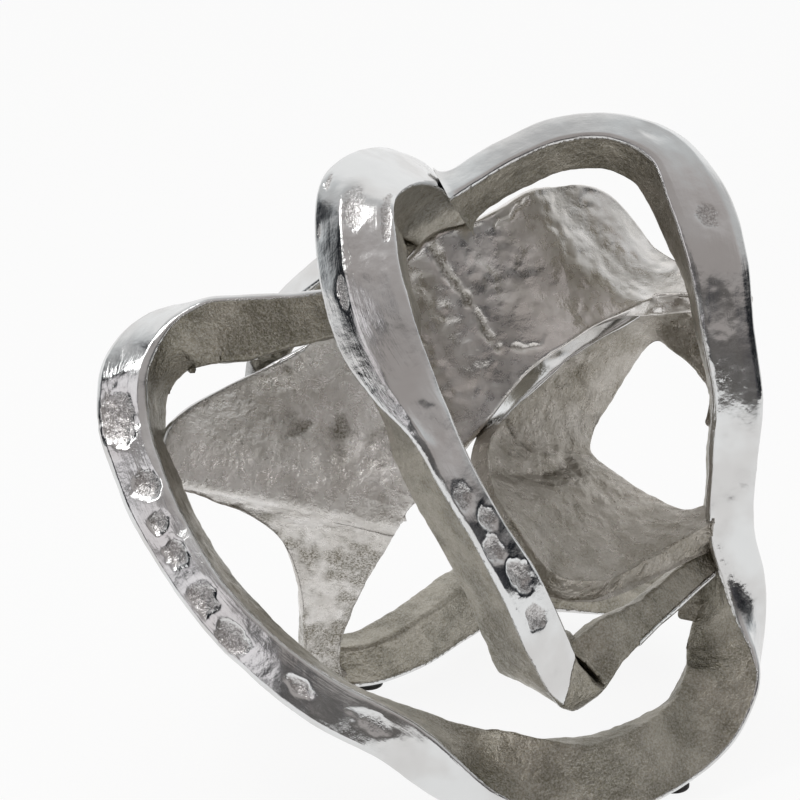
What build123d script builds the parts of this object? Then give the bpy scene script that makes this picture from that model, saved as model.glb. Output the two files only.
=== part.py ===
# Metal knot sculpture: cast straps welded into a round, open knot.
# Millimetres, +Z up, +Y away from the front, origin under the middle of the knot.

from build123d import *

import math
import os

import numpy as np

# Overall size of the knot, before the last centring
half_width = 130.0
half_depth = 118.0
half_height = 118.0

# Strap and web stock
strap_face = 20.0
strap_depth = 30.0
web_plate = 9.0
inner_face_share = 0.86
face_crown = 0.5
edge_radius = 1.6
sections_per_station = 2

# Joints: weld slugs between castings, flared fillets where a strap ends on another piece
weld_proud = 0.5
weld_flare = 3.0
seat_clearance = 0.3
cut_overrun = 5.0

# Felt pads under the four places that touch the table
pad_diameter = 13.0
pad_thickness = 1.5
pad_places_share = {
    "felt_pad_front_left": (0.35, -0.75),
    "felt_pad_front_right": (0.66, -0.56),
    "felt_pad_rear": (0.28, 0.77),
    "felt_pad_foot": (-0.22, 0.18),
}

# Straps. Each station: across, back, up as shares of the half sizes, the way the outer face
# looks (turn from the front to the right, tilt up, both in degrees), and the shares of the
# strap face and the strap depth.
loop_shares = [
    (-0.03, 0.09, 1.38, 175, 70, 0.80, 0.67),
    (-0.18, -0.03, 1.46, 175, 70, 0.80, 0.63),
    (-0.30, -0.05, 1.49, 175, 70, 0.85, 0.67),
    (-0.43, -0.07, 1.48, 178, 70, 0.90, 0.73),
    (-0.56, -0.09, 1.48, 185, 70, 0.90, 0.87),
    (-0.69, -0.11, 1.47, 195, 70, 0.95, 0.93),
    (-0.82, -0.17, 1.42, 290, 55, 1.05, 0.97),
    (-0.90, -0.26, 1.30, -30, 28, 1.10, 1.00),
    (-0.90, -0.35, 1.15, -16, 20, 1.10, 1.00),
    (-0.85, -0.46, 1.01, -14, 17, 1.05, 0.93),
    (-0.77, -0.58, 0.87, -11, 15, 1.00, 0.93),
    (-0.65, -0.73, 0.72, -9, 12, 0.95, 0.93),
    (-0.50, -0.85, 0.59, -7, 10, 0.95, 0.93),
    (-0.32, -0.94, 0.47, -4, 5, 1.00, 0.93),
    (-0.12, -0.98, 0.36, 4, -8, 1.00, 1.00),
    (0.09, -0.95, 0.14, 16, -45, 1.05, 1.00),
    (0.33, -0.84, 0.03, 28, -76, 1.10, 1.00),
    (0.59, -0.69, 0.02, 55, -66, 1.05, 1.00),
    (0.80, -0.52, 0.08, 75, -38, 1.00, 1.00),
    (0.91, -0.39, 0.23, 76, -26, 1.00, 1.00),
    (0.93, -0.31, 0.38, 64, -12, 1.00, 0.97),
    (0.89, -0.28, 0.56, 30, 4, 1.00, 0.93),
    (0.83, -0.28, 0.76, 0, 14, 1.00, 0.90),
    (0.83, -0.26, 0.97, -6, 18, 1.00, 0.87),
    (0.84, -0.24, 1.18, -8, 20, 1.05, 0.87),
    (0.83, -0.19, 1.39, -8, 22, 1.10, 0.87),
    (0.81, -0.12, 1.59, -2, 26, 1.25, 0.87),
    (0.75, -0.01, 1.77, 12, 34, 1.30, 0.83),
    (0.65, 0.09, 1.91, 20, 48, 1.05, 0.80),
    (0.50, 0.15, 1.97, 6, 60, 0.85, 0.73),
    (0.33, 0.15, 1.96, -6, 63, 0.80, 0.70),
    (0.17, 0.08, 1.90, -14, 63, 0.75, 0.70),
    (0.02, 0.00, 1.82, -22, 60, 0.75, 0.73),
    (-0.12, 0.03, 1.71, -35, 58, 0.75, 0.73),
    (-0.26, 0.15, 1.58, -45, 55, 0.85, 0.73),
    (-0.40, 0.25, 1.43, -60, 50, 0.95, 0.67),
    (-0.51, 0.29, 1.30, -75, 42, 0.85, 0.60),
    (-0.56, 0.22, 1.19, -85, 20, 0.75, 0.53),
    (-0.55, 0.06, 1.11, -90, 0, 0.70, 0.47),
]
front_shares = [
    (0.17, 0.75, 0.01, 165, -45, 1.00, 0.80),
    (0.22, 0.91, 0.19, 175, -15, 1.00, 0.87),
    (0.24, 0.99, 0.48, 172, 5, 1.00, 0.87),
    (0.26, 0.95, 0.82, 165, 25, 1.00, 0.87),
    (0.23, 0.81, 1.17, 140, 42, 1.00, 0.87),
    (0.17, 0.58, 1.45, 95, 55, 1.10, 0.87),
    (0.08, 0.32, 1.66, 60, 58, 1.20, 0.87),
    (-0.05, 0.03, 1.81, 30, 60, 1.25, 0.93),
    (-0.15, -0.21, 1.89, 6, 50, 1.35, 1.00),
    (-0.22, -0.42, 1.85, -5, 30, 1.55, 1.00),
    (-0.23, -0.56, 1.72, -6, 22, 1.65, 1.00),
    (-0.19, -0.67, 1.58, -4, 18, 1.60, 1.00),
    (-0.12, -0.75, 1.44, 8, 16, 1.30, 1.00),
    (-0.03, -0.81, 1.31, 26, 16, 0.95, 1.00),
    (0.05, -0.86, 1.15, 24, 16, 0.85, 1.00),
    (0.13, -0.89, 1.00, 20, 15, 0.85, 1.00),
    (0.22, -0.90, 0.82, 18, 15, 1.00, 1.00),
    (0.30, -0.87, 0.66, 20, 14, 1.10, 1.00),
    (0.37, -0.82, 0.53, 28, -2, 1.00, 1.00),
    (0.43, -0.73, 0.42, 42, -45, 0.80, 0.90),
    (0.50, -0.61, 0.45, 48, -60, 0.75, 0.67),
    (0.59, -0.48, 0.49, 48, -60, 0.70, 0.50),
    (0.70, -0.37, 0.55, 45, -55, 0.70, 0.47),
    (0.85, -0.29, 0.59, 40, -50, 0.70, 0.47),
]
base_shares = [
    (0.90, -0.16, 0.45, 90, -10, 0.90, 0.80),
    (0.89, 0.24, 0.31, 120, -30, 0.90, 0.80),
    (0.75, 0.51, 0.17, 150, -55, 0.95, 0.80),
    (0.58, 0.68, 0.06, 170, -78, 1.00, 0.87),
    (0.37, 0.78, 0.02, 175, -90, 1.00, 0.87),
    (0.19, 0.73, 0.02, 160, -90, 1.00, 0.87),
    (0.05, 0.53, 0.02, 130, -90, 1.00, 0.87),
    (-0.08, 0.32, 0.02, 90, -90, 1.00, 0.80),
    (-0.22, 0.18, 0.02, -60, -90, 1.00, 0.67),
    (-0.35, 0.14, 0.03, -60, -86, 0.95, 0.60),
]

# Webs. Each station: across, back, up of one long edge, the same of the other edge, and the
# share of the web plate.
upper_shares = [
    (0.84, -0.03, 1.38, 0.85, 0.05, 1.44, 1.22),
    (0.76, 0.13, 1.36, 0.77, 0.25, 1.43, 1.44),
    (0.62, 0.18, 1.34, 0.63, 0.44, 1.45, 1.44),
    (0.48, 0.13, 1.30, 0.48, 0.46, 1.65, 1.11),
    (0.36, 0.04, 1.25, 0.29, 0.31, 1.72, 0.89),
    (0.24, -0.02, 1.17, 0.11, 0.13, 1.67, 0.89),
    (0.14, -0.10, 1.05, -0.03, 0.01, 1.56, 0.89),
    (0.05, -0.15, 0.94, -0.16, 0.01, 1.44, 1.00),
    (-0.03, -0.17, 0.85, -0.33, 0.10, 1.30, 1.11),
    (-0.07, -0.17, 0.79, -0.52, 0.09, 1.17, 1.11),
    (-0.10, -0.16, 0.74, -0.66, -0.03, 1.11, 1.00),
    (-0.12, -0.15, 0.70, -0.73, -0.18, 1.06, 0.89),
    (-0.13, -0.13, 0.66, -0.72, -0.25, 0.94, 0.89),
    (-0.15, -0.11, 0.62, -0.66, -0.19, 0.85, 1.00),
    (-0.17, -0.08, 0.56, -0.56, -0.14, 0.80, 1.11),
    (-0.20, -0.04, 0.50, -0.48, -0.09, 0.68, 1.11),
    (-0.23, 0.01, 0.41, -0.44, -0.06, 0.52, 1.22),
    (-0.27, 0.05, 0.31, -0.43, -0.01, 0.35, 1.33),
    (-0.30, 0.10, 0.19, -0.43, 0.05, 0.19, 1.44),
    (-0.32, 0.14, 0.07, -0.42, 0.12, 0.04, 1.56),
]
lower_shares = [
    (0.85, -0.13, 1.02, 0.88, -0.12, 1.15, 0.89),
    (0.81, 0.05, 1.06, 0.86, 0.10, 1.22, 0.89),
    (0.78, 0.16, 1.09, 0.81, 0.20, 1.27, 0.89),
    (0.71, 0.29, 1.15, 0.71, 0.24, 1.28, 1.00),
    (0.65, 0.36, 1.17, 0.61, 0.25, 1.27, 1.00),
    (0.59, 0.37, 1.10, 0.49, 0.20, 1.21, 1.00),
    (0.52, 0.33, 0.99, 0.37, 0.12, 1.15, 1.00),
    (0.47, 0.26, 0.91, 0.26, 0.04, 1.08, 1.00),
    (0.45, 0.20, 0.87, 0.16, -0.08, 1.01, 1.00),
    (0.45, 0.15, 0.84, 0.10, -0.24, 1.01, 1.00),
    (0.48, 0.10, 0.82, 0.11, -0.45, 0.94, 1.00),
    (0.52, 0.06, 0.80, 0.17, -0.60, 0.87, 1.00),
    (0.58, 0.02, 0.77, 0.28, -0.65, 0.73, 1.00),
    (0.65, -0.03, 0.75, 0.42, -0.59, 0.67, 0.89),
    (0.71, -0.10, 0.75, 0.57, -0.46, 0.67, 0.89),
    (0.76, -0.17, 0.77, 0.70, -0.36, 0.70, 0.89),
    (0.82, -0.25, 0.81, 0.81, -0.32, 0.74, 0.89),
]

half_sizes = np.array([half_width, half_depth, half_height])


def looking(turn, tilt):
    """The unit vector of a face that is turned from the front and tilted up."""
    a = math.radians(turn)
    e = math.radians(tilt)
    return np.array([math.cos(e) * math.sin(a), -math.cos(e) * math.cos(a), math.sin(e)])


def unit(v):
    return v / np.linalg.norm(v)


def strap_rows(shares):
    """Place, outward direction, face width and depth of each station of a strap."""
    rows = []
    for x, y, z, turn, tilt, face, depth in shares:
        place = np.array([x, y, z]) * half_sizes
        rows.append(np.concatenate([place, looking(turn, tilt),
                                    [face * strap_face, depth * strap_depth]]))
    return np.array(rows)


def web_rows(shares):
    """Both edges and the thickness of each station of a web."""
    rows = []
    for x, y, z, x2, y2, z2, plate in shares:
        rows.append(np.concatenate([np.array([x, y, z]) * half_sizes,
                                    np.array([x2, y2, z2]) * half_sizes,
                                    [plate * web_plate]]))
    return np.array(rows)


def along(rows, s):
    """The row at s stations along a path, and its slope, on a smooth curve through them all."""
    ends = np.vstack([2 * rows[0] - rows[1], rows, 2 * rows[-1] - rows[-2]])
    i = min(int(s), len(rows) - 2)
    t = s - i
    a, b, c, d = ends[i:i + 4]
    value = b + 0.5 * ((c - a) * t + (2 * a - 5 * b + 4 * c - d) * t ** 2
                       + (3 * b - a - 3 * c + d) * t ** 3)
    slope = 0.5 * ((c - a) + 2 * (2 * a - 5 * b + 4 * c - d) * t
                   + 3 * (3 * b - a - 3 * c + d) * t ** 2)
    return value, slope


def strap_frame(rows, s):
    """Outer middle, inner middle, sideways direction, outer width and inner width at s."""
    row, slope = along(rows, s)
    forward = unit(slope[:3])
    outward = row[3:6] - np.dot(row[3:6], forward) * forward
    outward = unit(outward)
    outer = row[:3]
    inner = outer - outward * row[7]
    return outer, inner, np.cross(forward, outward), row[6], row[6] * inner_face_share


def web_frame(rows, s):
    """The same for a web, whose long edges are given."""
    row, slope = along(rows, s)
    outer = row[:3]
    inner = row[3:6]
    forward = slope[:3] + slope[3:6]
    sideways = unit(np.cross(forward, outer - inner))
    return outer, inner, sideways, row[6], row[6]


def outline(frame, grow_side=0.0, grow_outer=0.0, grow_inner=0.0):
    """The closed wire of one cross section: four flanks, a crowned outer face, round edges."""
    outer, inner, sideways, outer_width, inner_width = frame
    outward = unit(outer - inner)
    outer = outer + outward * grow_outer
    inner = inner - outward * grow_inner
    half_outer = sideways * (outer_width / 2 + grow_side)
    half_inner = sideways * (inner_width / 2 + grow_side)
    corners = [outer - half_outer, outer + half_outer, inner + half_inner, inner - half_inner]
    arcs = []
    for k, corner in enumerate(corners):
        before = unit(corners[k - 1] - corner) * edge_radius
        after = unit(corners[(k + 1) % 4] - corner) * edge_radius
        middle = corner + (before + after) * (1 - math.sqrt(0.5))
        arcs.append((corner + before, middle, corner + after))
    edges = []
    for k, (start, middle, end) in enumerate(arcs):
        edges.append(Edge.make_three_point_arc(Vector(*start), Vector(*middle), Vector(*end)))
        nxt = arcs[(k + 1) % 4][0]
        if k == 0:
            crown = (end + nxt) / 2 + outward * face_crown
            edges.append(Edge.make_three_point_arc(Vector(*end), Vector(*crown), Vector(*nxt)))
        else:
            edges.append(Edge.make_line(Vector(*end), Vector(*nxt)))
    return Wire(edges)


class Path:
    """A strap or web path that gives a casting between any two places along it."""

    def __init__(self, rows, frame):
        self.rows = rows
        self.frame = frame

    def casting(self, start, end, grow=0.0):
        """A smooth solid from start to end, with grow all round for a clearance."""
        count = max(2, round((end - start) * sections_per_station) + 1)
        wires = [outline(self.frame(self.rows, s), grow, grow, grow)
                 for s in np.linspace(start, end, count)]
        return Solid.make_loft(wires)

    def slug(self, start, end):
        """Weld metal that fills a butt joint, dressed flush with the outer face."""
        wires = [outline(self.frame(self.rows, s), weld_proud, 0.0, weld_proud)
                 for s in (start, end)]
        return Solid.make_loft(wires, True)

    def fillet(self, start, end):
        """Weld metal that flares from the strap's own section towards the piece it meets."""
        flare_shares = (0.0, 1.0) if end > start else (1.0, 0.0)
        wires = [outline(self.frame(self.rows, s), weld_flare * share, weld_flare * share,
                         weld_flare * share)
                 for s, share in zip(sorted((start, end)), flare_shares)]
        return Solid.make_loft(wires, True)


loop = Path(strap_rows(loop_shares), strap_frame)
front = Path(strap_rows(front_shares), strap_frame)
base = Path(strap_rows(base_shares), strap_frame)
upper = Path(web_rows(upper_shares), web_frame)
lower = Path(web_rows(lower_shares), web_frame)

# Where the castings start and end, counted in stations along their path
spans = {
    "loop_arm": (loop, 1.0, 5.6),
    "left_loop": (loop, 5.7, 14.4),
    "base_loop": (loop, 14.5, 18.9),
    "right_loop": (loop, 19.0, 24.3),
    "crown_loop": (loop, 24.4, 31.7),
    "crown_tail": (loop, 34.1, 37.4),
    "rear_band_lower": (front, 1.15, 3.0),
    "rear_band_upper": (front, 3.1, 6.0),
    "crest_band": (front, 6.1, 12.0),
    "front_band": (front, 12.1, 18.2),
    "tip_elbow": (front, 18.3, 20.3),
    "return_arm": (front, 20.4, 22.3),
    "rear_right_base": (base, 0.6, 4.0),
    "rear_base": (base, 4.1, 9.0),
    "upper_web": (upper, 0.6, 8.4),
    "left_web": (upper, 8.5, 18.0),
    "back_web": (lower, 0.6, 5.0),
    "lower_web": (lower, 5.1, 14.3),
}

# Butt welds: the castings in line before and after the joint
butt_welds = {
    "weld_arm_to_left_loop": ("loop_arm", "left_loop"),
    "weld_left_to_base_loop": ("left_loop", "base_loop"),
    "weld_base_to_right_loop": ("base_loop", "right_loop"),
    "weld_right_to_crown_loop": ("right_loop", "crown_loop"),
    "weld_rear_band": ("rear_band_lower", "rear_band_upper"),
    "weld_rear_to_crest_band": ("rear_band_upper", "crest_band"),
    "weld_crest_to_front_band": ("crest_band", "front_band"),
    "weld_front_band_to_tip": ("front_band", "tip_elbow"),
    "weld_tip_to_return_arm": ("tip_elbow", "return_arm"),
    "weld_rear_base": ("rear_right_base", "rear_base"),
    "weld_upper_to_left_web": ("upper_web", "left_web"),
    "weld_back_to_lower_web": ("back_web", "lower_web"),
}

# Fillet welds: the casting that ends, the station its weld runs on to, and what it sits on
fillet_welds = {
    "weld_arm_to_web": ("loop_arm", 0.2, ["upper_web"]),
    "weld_crown_loop_to_crest": ("crown_loop", 32.4, ["crest_band", "upper_web"]),
    "weld_crown_tail_to_crest": ("crown_tail", 33.5, ["crest_band"]),
    "weld_crown_tail_to_web": ("crown_tail", 37.95, ["left_web"]),
    "weld_rear_band_to_base": ("rear_band_lower", 0.3, ["rear_base"]),
    "weld_return_arm_to_loop": ("return_arm", 23.0, ["right_loop"]),
    "weld_base_to_loop": ("rear_right_base", 0.0, ["right_loop"]),
    "weld_upper_web_to_loop": ("upper_web", 0.0, ["crown_loop"]),
    "weld_back_web_to_loop": ("back_web", 0.0, ["right_loop"]),
    "weld_lower_web_to_loop": ("lower_web", 14.8, ["right_loop", "return_arm"]),
    "weld_left_web_to_base": ("left_web", 18.7, ["rear_base"]),
}


def keep_largest(shape):
    """The largest solid that a cut leaves."""
    return max(shape.solids(), key=lambda s: s.volume)


def grown(name):
    """A casting with the seat clearance all round."""
    path, start, end = spans[name]
    return path.casting(start, end, seat_clearance)


def fit(piece, names):
    """Cuts a piece back to clear the castings that it sits on."""
    for name in names:
        piece = keep_largest(piece - grown(name))
    return piece


def castings():
    return {name: path.casting(start, end) for name, (path, start, end) in spans.items()}


def welds():
    pieces = {}
    for name, (before, after) in butt_welds.items():
        path, _, start = spans[before]
        pieces[name] = path.slug(start, spans[after][1])
    for name, (casting, reach, others) in fillet_welds.items():
        path, start, end = spans[casting]
        near_end = start if reach < start else end
        pieces[name] = fit(path.fillet(near_end, reach), others)
    return pieces


def ground_flat(piece):
    """Takes away what reaches lower than the top of the felt pads."""
    box = piece.bounding_box()
    if box.min.Z >= pad_thickness:
        return piece
    block = Box(box.size.X + cut_overrun, box.size.Y + cut_overrun, box.size.Z + cut_overrun)
    below = Pos(box.center().X, box.center().Y, pad_thickness - (box.size.Z + cut_overrun) / 2)
    return keep_largest(piece - below * block)


def felt_pads():
    pads = {}
    for name, (x_share, y_share) in pad_places_share.items():
        pads[name] = Pos(x_share * half_width, y_share * half_depth, pad_thickness / 2) * Cylinder(
            pad_diameter / 2, pad_thickness)
    return pads


def build():
    """Every piece by its name, moved so that the origin is under the middle of the knot."""
    pieces = castings()
    pieces.update(welds())
    pieces = {name: ground_flat(piece) for name, piece in pieces.items()}
    pieces.update(felt_pads())
    box = Compound(list(pieces.values())).bounding_box()
    shift = Pos(-box.center().X, -box.center().Y, -box.min.Z)
    return {name: shift * piece for name, piece in pieces.items()}


if __name__ == "__main__":
    os.makedirs("parts", exist_ok=True)
    for name, piece in build().items():
        piece.label = name
        export_step(piece, f"parts/{name}.step")
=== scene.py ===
# %% [markdown]
# # A cast metal knot, dressed for its portrait
# The object is a table ornament: thick straps of sand-cast aluminium, welded into an open knot,
# ground and polished on their outer faces and plated with nickel. The flanks keep the skin that the
# sand gave them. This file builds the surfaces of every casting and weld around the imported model.
# Sculpting could give such a skin too, but every dent would be made by hand. Here the shape, the
# dents and the grain are all formulas, so a change of one number changes the whole knot.

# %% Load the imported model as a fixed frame
import math

import bpy
import numpy as np
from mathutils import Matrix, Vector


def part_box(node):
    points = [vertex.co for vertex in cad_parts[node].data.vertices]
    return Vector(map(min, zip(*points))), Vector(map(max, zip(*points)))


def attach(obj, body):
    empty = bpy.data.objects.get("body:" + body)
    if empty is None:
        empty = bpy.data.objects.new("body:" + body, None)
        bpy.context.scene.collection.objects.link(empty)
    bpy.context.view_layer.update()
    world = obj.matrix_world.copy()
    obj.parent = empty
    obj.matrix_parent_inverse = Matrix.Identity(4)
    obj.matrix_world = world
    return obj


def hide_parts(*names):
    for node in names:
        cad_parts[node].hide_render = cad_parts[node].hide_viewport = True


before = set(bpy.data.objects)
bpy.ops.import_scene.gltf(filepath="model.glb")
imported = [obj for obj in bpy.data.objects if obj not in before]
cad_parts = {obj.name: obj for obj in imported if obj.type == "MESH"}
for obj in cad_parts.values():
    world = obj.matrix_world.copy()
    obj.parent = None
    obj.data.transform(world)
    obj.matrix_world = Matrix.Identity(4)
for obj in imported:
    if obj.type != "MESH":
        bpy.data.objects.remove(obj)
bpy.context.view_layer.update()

mm = 0.001
print("nodes in the frame:", len(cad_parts))

# %% [markdown]
# The knot is described by stations along five paths. A strap station gives a place, the way the
# polished face looks and the size of the strap there. A web station gives the two long edges of a
# plate. All places are shares of the knot's half sizes, so the table reads like a drawing: 1 is the
# edge of the knot. Nearly the same stations shaped the solids, so the surfaces lie on them.

# %% Sizes and stations
half_sizes = np.array([130.0, 118.0, 118.0]) * mm
strap_face = 20 * mm
strap_depth = 30 * mm
web_plate = 9 * mm
inner_face_share = 0.86
pad_top = 1.5 * mm
rear_pad_share = np.array([0.28, 0.77])

# across, back, up, turn, tilt, face share, depth share
loop_shares = [
    (-0.03, 0.09, 1.38, 175, 70, 0.80, 0.67),
    (-0.18, -0.03, 1.46, 175, 70, 0.80, 0.63),
    (-0.30, -0.05, 1.49, 175, 70, 0.85, 0.67),
    (-0.43, -0.07, 1.48, 178, 70, 0.90, 0.73),
    (-0.56, -0.09, 1.48, 185, 70, 0.90, 0.87),
    (-0.69, -0.11, 1.47, 200, 70, 0.95, 0.87),
    (-0.82, -0.17, 1.42, 300, 70, 1.05, 0.80),
    (-0.90, -0.26, 1.30, -27, 28, 1.10, 0.90),
    (-0.90, -0.35, 1.15, -12, 20, 1.10, 1.00),
    (-0.85, -0.46, 1.01, -10, 17, 1.05, 0.93),
    (-0.77, -0.58, 0.87, -7, 15, 1.00, 0.93),
    (-0.65, -0.73, 0.72, -5, 12, 0.95, 0.93),
    (-0.50, -0.85, 0.59, -4, 14, 0.95, 0.93),
    (-0.32, -0.94, 0.47, -4, 18, 1.00, 0.93),
    (-0.12, -0.98, 0.36, 4, 10, 1.00, 1.00),
    (0.09, -0.95, 0.14, 16, -45, 1.05, 1.00),
    (0.33, -0.84, 0.03, 28, -76, 1.10, 1.00),
    (0.59, -0.69, 0.02, 55, -66, 1.05, 1.00),
    (0.80, -0.52, 0.08, 75, -38, 1.00, 1.00),
    (0.91, -0.39, 0.23, 76, -26, 1.00, 1.00),
    (0.93, -0.31, 0.38, 64, -12, 1.00, 0.97),
    (0.89, -0.28, 0.56, 30, 4, 1.00, 0.93),
    (0.83, -0.28, 0.76, 0, 14, 1.00, 0.90),
    (0.83, -0.26, 0.97, 0, 18, 1.00, 0.87),
    (0.84, -0.24, 1.18, 2, 20, 1.05, 0.87),
    (0.81, -0.19, 1.39, 4, 22, 1.10, 0.87),
    (0.785, -0.12, 1.59, 8, 26, 1.25, 0.87),
    (0.735, -0.01, 1.77, 16, 34, 1.30, 0.83),
    (0.65, 0.09, 1.91, 20, 48, 1.05, 0.80),
    (0.50, 0.15, 1.97, 6, 60, 0.85, 0.73),
    (0.33, 0.15, 1.96, -6, 63, 0.80, 0.70),
    (0.17, 0.08, 1.90, -14, 63, 0.75, 0.70),
    (0.02, 0.00, 1.82, -22, 60, 0.75, 0.73),
    (-0.12, 0.03, 1.71, -35, 58, 0.75, 0.73),
    (-0.26, 0.15, 1.58, -45, 55, 0.85, 0.73),
    (-0.40, 0.25, 1.43, -60, 50, 0.95, 0.67),
    (-0.51, 0.29, 1.30, -75, 42, 0.85, 0.60),
    (-0.56, 0.22, 1.19, -85, 20, 0.75, 0.53),
    (-0.55, 0.06, 1.11, -90, 0, 0.70, 0.47),
]
front_shares = [
    (0.17, 0.75, 0.01, 165, -45, 1.00, 0.80),
    (0.22, 0.91, 0.19, 175, -15, 1.00, 0.87),
    (0.24, 0.99, 0.48, 172, 5, 1.00, 0.87),
    (0.26, 0.95, 0.82, 165, 25, 1.00, 0.87),
    (0.23, 0.81, 1.17, 140, 42, 1.00, 0.87),
    (0.17, 0.58, 1.45, 95, 55, 1.10, 0.87),
    (0.08, 0.32, 1.66, 60, 58, 1.20, 0.87),
    (-0.05, 0.03, 1.86, 28, 60, 1.25, 0.93),
    (-0.16, -0.21, 1.93, 4, 50, 1.35, 1.07),
    (-0.24, -0.42, 1.90, -10, 30, 1.55, 1.17),
    (-0.24, -0.56, 1.74, -12, 22, 1.60, 1.17),
    (-0.20, -0.67, 1.58, -9, 18, 1.60, 1.13),
    (-0.12, -0.75, 1.44, 8, 16, 1.30, 1.00),
    (-0.03, -0.81, 1.31, 28, 18, 0.95, 1.00),
    (0.05, -0.86, 1.15, 32, 20, 0.85, 1.00),
    (0.13, -0.89, 1.00, 33, 21, 0.85, 1.00),
    (0.22, -0.90, 0.82, 33, 21, 0.95, 1.00),
    (0.29, -0.88, 0.64, 35, 20, 1.00, 1.00),
    (0.35, -0.83, 0.49, 38, 10, 0.95, 1.00),
    (0.42, -0.74, 0.38, 44, -40, 0.80, 0.90),
    (0.50, -0.61, 0.45, 48, -60, 0.75, 0.67),
    (0.59, -0.48, 0.49, 48, -60, 0.70, 0.50),
    (0.70, -0.34, 0.53, 45, -55, 0.70, 0.47),
    (0.86, -0.16, 0.60, 40, -50, 0.70, 0.47),
]
base_shares = [
    (0.90, -0.16, 0.45, 90, -10, 0.90, 0.80),
    (0.89, 0.24, 0.31, 120, -30, 0.90, 0.80),
    (0.75, 0.51, 0.17, 150, -55, 0.95, 0.80),
    (0.58, 0.68, 0.06, 170, -78, 1.00, 0.87),
    (0.37, 0.78, 0.02, 175, -90, 1.00, 0.87),
    (0.19, 0.73, 0.02, 160, -90, 1.00, 0.87),
    (0.05, 0.53, 0.02, 130, -90, 1.00, 0.87),
    (-0.08, 0.32, 0.02, 90, -90, 1.00, 0.80),
    (-0.22, 0.18, 0.02, -60, -90, 1.00, 0.67),
    (-0.35, 0.14, 0.03, -60, -86, 0.95, 0.60),
]

# across, back, up of one long edge, the same of the other, plate share
upper_shares = [
    (0.84, -0.03, 1.38, 0.85, 0.05, 1.44, 1.22),
    (0.76, 0.13, 1.36, 0.77, 0.25, 1.43, 1.44),
    (0.62, 0.18, 1.34, 0.63, 0.44, 1.45, 1.44),
    (0.48, 0.13, 1.30, 0.48, 0.46, 1.65, 1.11),
    (0.36, 0.04, 1.25, 0.29, 0.31, 1.72, 0.89),
    (0.24, -0.02, 1.17, 0.11, 0.13, 1.67, 0.89),
    (0.14, -0.10, 1.05, -0.03, 0.04, 1.64, 0.89),
    (0.05, -0.15, 0.94, -0.16, 0.03, 1.50, 1.00),
    (-0.03, -0.17, 0.85, -0.33, 0.10, 1.30, 1.11),
    (-0.06, -0.17, 0.81, -0.52, 0.09, 1.17, 1.11),
    (-0.075, -0.17, 0.785, -0.69, -0.03, 1.11, 1.00),
    (-0.09, -0.165, 0.76, -0.80, -0.19, 1.06, 0.89),
    (-0.105, -0.155, 0.73, -0.80, -0.28, 0.95, 0.89),
    (-0.12, -0.15, 0.70, -0.72, -0.22, 0.88, 0.89),
    (-0.135, -0.125, 0.655, -0.58, -0.14, 0.785, 1.00),
    (-0.165, -0.09, 0.58, -0.48, -0.09, 0.67, 1.11),
    (-0.205, -0.03, 0.485, -0.44, -0.06, 0.53, 1.22),
    (-0.25, 0.03, 0.36, -0.43, -0.01, 0.36, 1.33),
    (-0.29, 0.085, 0.23, -0.43, 0.05, 0.19, 1.44),
    (-0.32, 0.14, 0.07, -0.42, 0.12, 0.04, 1.56),
]
lower_shares = [
    (0.82, -0.13, 1.02, 0.84, -0.12, 1.15, 0.89),
    (0.80, 0.05, 1.06, 0.84, 0.10, 1.22, 0.89),
    (0.78, 0.16, 1.09, 0.81, 0.20, 1.27, 0.89),
    (0.71, 0.29, 1.15, 0.71, 0.24, 1.35, 1.00),
    (0.65, 0.36, 1.17, 0.61, 0.25, 1.36, 1.00),
    (0.59, 0.37, 1.10, 0.49, 0.20, 1.30, 1.00),
    (0.52, 0.33, 0.99, 0.37, 0.12, 1.24, 1.00),
    (0.47, 0.26, 0.91, 0.26, 0.04, 1.16, 1.00),
    (0.45, 0.20, 0.87, 0.16, -0.08, 1.08, 1.00),
    (0.45, 0.15, 0.84, 0.10, -0.24, 1.01, 1.00),
    (0.48, 0.10, 0.82, 0.11, -0.45, 0.94, 1.00),
    (0.52, 0.06, 0.80, 0.17, -0.60, 0.87, 1.00),
    (0.58, 0.02, 0.77, 0.28, -0.65, 0.73, 1.00),
    (0.65, -0.03, 0.75, 0.42, -0.58, 0.67, 0.89),
    (0.71, -0.10, 0.75, 0.57, -0.43, 0.67, 0.89),
    (0.77, -0.13, 0.77, 0.70, -0.32, 0.70, 0.89),
    (0.84, -0.16, 0.81, 0.84, -0.22, 0.75, 0.89),
]

# %% Where the knot stands: the rear pad tells how far the model was moved to be centred
pad_low, pad_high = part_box("felt_pad_rear")
pad_middle = (np.array(pad_low) + np.array(pad_high)) / 2
knot_shift = np.array([*(pad_middle[:2] - rear_pad_share * half_sizes[:2]), 0.0])
print("knot moved by", (knot_shift / mm).round(3), "mm")

# %% [markdown]
# A smooth curve runs through all stations. A curve object with a bevel profile could carry a strap
# along it, but the profile would be the same all the way, and these straps grow broad, thin out and
# lean as they go. So the curve is worked out here: each span between two stations is a cubic whose
# slope at a station is set by its two neighbours, the rule known as Catmull-Rom. It gives the size
# and the lean as well as the place, for many places at once, as whole arrays.


# %% Smooth rows between the stations
def looking(turn, tilt):
    """Unit vectors: cos tilt sin turn, minus cos tilt cos turn, sin tilt."""
    turn = np.radians(turn)
    tilt = np.radians(tilt)
    return np.stack([np.cos(tilt) * np.sin(turn), -np.cos(tilt) * np.cos(turn), np.sin(tilt)], -1)


def unit(v):
    """The same directions with a length of one."""
    return v / np.maximum(np.linalg.norm(v, axis=-1, keepdims=True), 1e-12)


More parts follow.
